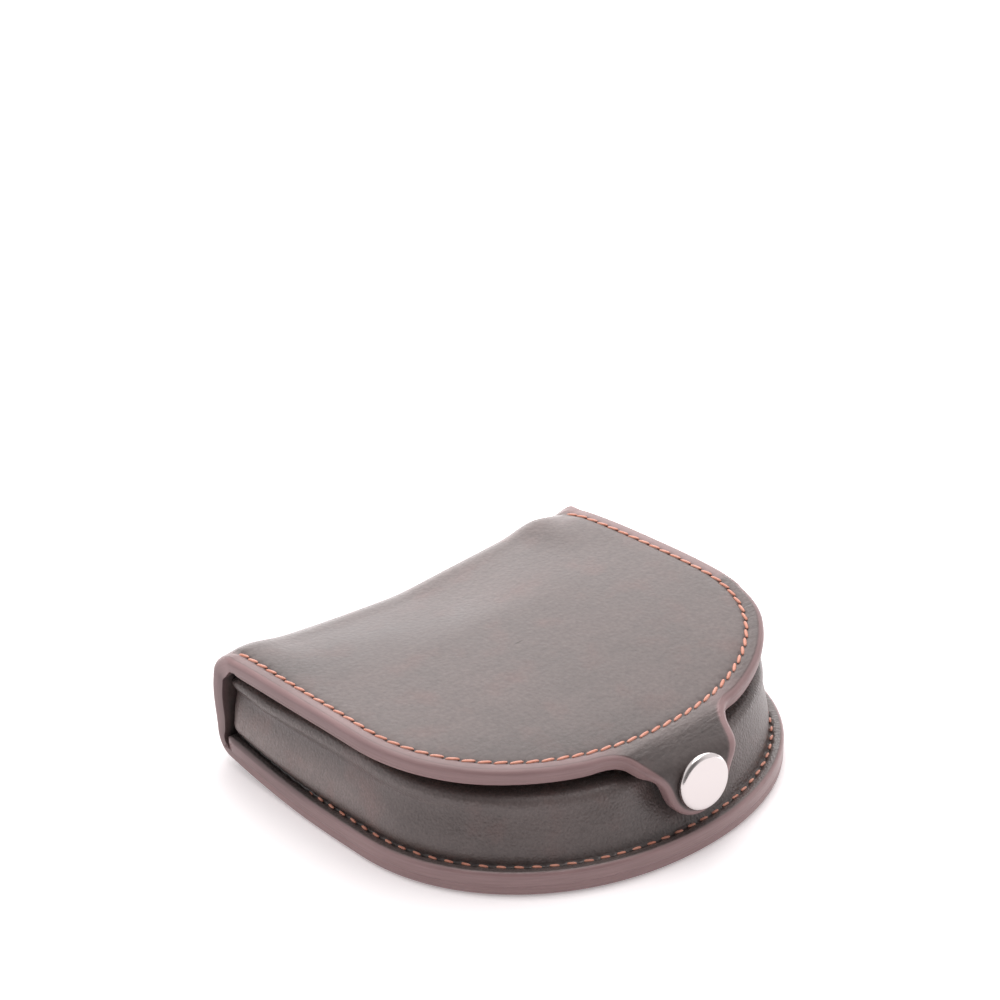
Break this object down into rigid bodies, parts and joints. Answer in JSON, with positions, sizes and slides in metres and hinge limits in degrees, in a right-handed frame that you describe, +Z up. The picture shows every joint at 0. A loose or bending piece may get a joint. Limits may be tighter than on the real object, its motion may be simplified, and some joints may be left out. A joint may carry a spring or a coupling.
{
  "type": "coin tray purse",
  "caption": "Small horseshoe coin purse in dark leather: a moulded coin bowl on a D-shaped base, with a flap folded over from a straight spine and closed by a press stud.",
  "frame": {"origin": "on the table under the middle of the bounding box", "axes": "+X along the spine, +Y from the press stud towards the spine, +Z up"},
  "size_m": [0.084, 0.0772, 0.0221],
  "materials": {
    "cover_leather": "smooth satin, painted edges",
    "lining_leather": "satin, painted edges",
    "bowl_leather": "moulded, fine grain",
    "snap_nickel": "polished nickel plate"
  },
  "bodies": {
    "root": {"cover": "cover_leather", "flap_lining": "lining_leather", "bowl": "bowl_leather", "snap_cap": "snap_nickel", "snap_stud": "snap_nickel"}
  },
  "joints": []
}
